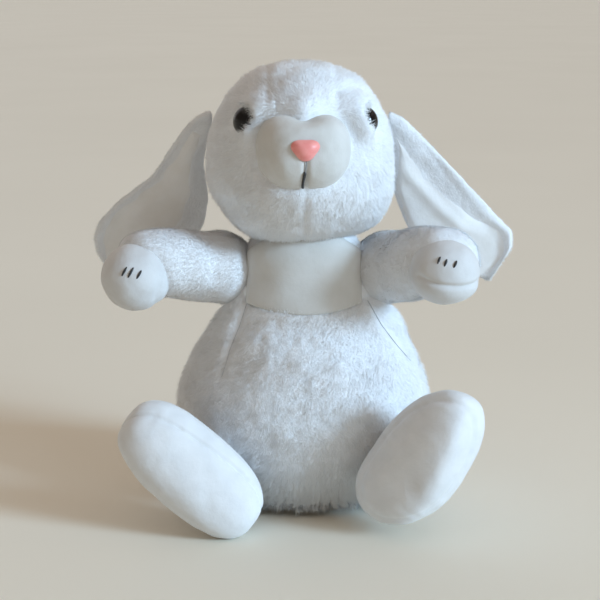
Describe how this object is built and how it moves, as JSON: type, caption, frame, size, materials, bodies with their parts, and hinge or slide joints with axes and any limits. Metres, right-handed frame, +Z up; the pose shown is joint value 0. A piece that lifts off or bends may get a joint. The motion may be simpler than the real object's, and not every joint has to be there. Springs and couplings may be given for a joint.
{
  "type": "plush rabbit",
  "caption": "Seated stuffed toy rabbit with lop ears, outstretched arms and forward-facing feet; head, ears, arms and legs flex at their seams.",
  "frame": {"origin": "middle of the flat of the seat, which is what the toy rests on", "axes": "+Z up from the seat to the crown, +X to the rabbit's own left, -Y the way it faces"},
  "size_m": [0.2654, 0.1748, 0.2726],
  "materials": {
    "plush": "short white pile on a knitted backing",
    "velour": "smooth off-white velour",
    "stuffing": "loose polyester fibre",
    "pellets": "cloth pouch of small pellets",
    "nose": "salmon-pink satin",
    "thread": "black embroidery thread",
    "eye": "polished black",
    "washer": "moulded white"
  },
  "bodies": {
    "torso": {"seat_base": "plush", "belly_left": "plush", "belly_right": "plush", "back_left": "plush", "back_right": "plush", "chest_bib": "velour", "torso_stuffing": "stuffing", "pellet_pouch": "pellets", "tail": "plush"},
    "head": {"head_gusset": "plush", "cheek_left": "plush", "cheek_right": "plush", "head_back": "plush", "muzzle": "velour", "head_stuffing": "stuffing", "nose": "nose", "mouth_stitch": "thread", "eye_left": "eye", "eye_right": "eye", "eye_washer_left": "washer", "eye_washer_right": "washer"},
    "ear_left": {"ear_left_back": "plush", "ear_left_lining": "velour"},
    "ear_right": {"ear_right_back": "plush", "ear_right_lining": "velour"},
    "arm_left": {"arm_left_sleeve": "plush", "arm_left_paw": "velour", "arm_left_claws": "thread", "arm_left_stuffing": "stuffing"},
    "arm_right": {"arm_right_sleeve": "plush", "arm_right_paw": "velour", "arm_right_claws": "thread", "arm_right_stuffing": "stuffing"},
    "leg_left": {"leg_left_sleeve": "plush", "foot_left_upper": "velour", "foot_left_sole": "velour", "leg_left_stuffing": "stuffing"},
    "leg_right": {"leg_right_sleeve": "plush", "foot_right_upper": "velour", "foot_right_sole": "velour", "leg_right_stuffing": "stuffing"}
  },
  "joints": [
    {"name": "head_seam", "type": "hinge", "parent": "torso", "child": "head", "pos_m": [0, 0, 0.15], "axis": [1, 0, 0], "range_deg": [-15, 15], "stiffness_Nm_per_rad": 1.5},
    {"name": "ear_left_seam", "type": "hinge", "parent": "head", "child": "ear_left", "pos_m": [0.0585, 0.018, 0.232], "axis": [0, -0.9903, -0.1392], "range_deg": [-4, 60], "stiffness_Nm_per_rad": 0.05},
    {"name": "ear_right_seam", "type": "hinge", "parent": "head", "child": "ear_right", "pos_m": [-0.0635, 0.018, 0.232], "axis": [0, 0.9903, 0.1392], "range_deg": [-4, 60], "stiffness_Nm_per_rad": 0.05},
    {"name": "arm_left_seam", "type": "hinge", "parent": "torso", "child": "arm_left", "pos_m": [0.052, 0, 0.145], "axis": [-0.7986, -0.6018, 0], "range_deg": [-12, 22], "stiffness_Nm_per_rad": 0.3},
    {"name": "arm_right_seam", "type": "hinge", "parent": "torso", "child": "arm_right", "pos_m": [-0.052, 0, 0.145], "axis": [-0.4695, 0.8829, 0], "range_deg": [-15, 22], "stiffness_Nm_per_rad": 0.3},
    {"name": "leg_left_seam", "type": "hinge", "parent": "torso", "child": "leg_left", "pos_m": [0.054, -0.041, 0.034], "axis": [-0.9487, -0.3162, 0], "range_deg": [0, 16], "stiffness_Nm_per_rad": 0.3},
    {"name": "leg_right_seam", "type": "hinge", "parent": "torso", "child": "leg_right", "pos_m": [-0.054, -0.041, 0.034], "axis": [-0.9503, 0.3113, 0], "range_deg": [0, 16], "stiffness_Nm_per_rad": 0.3}
  ]
}
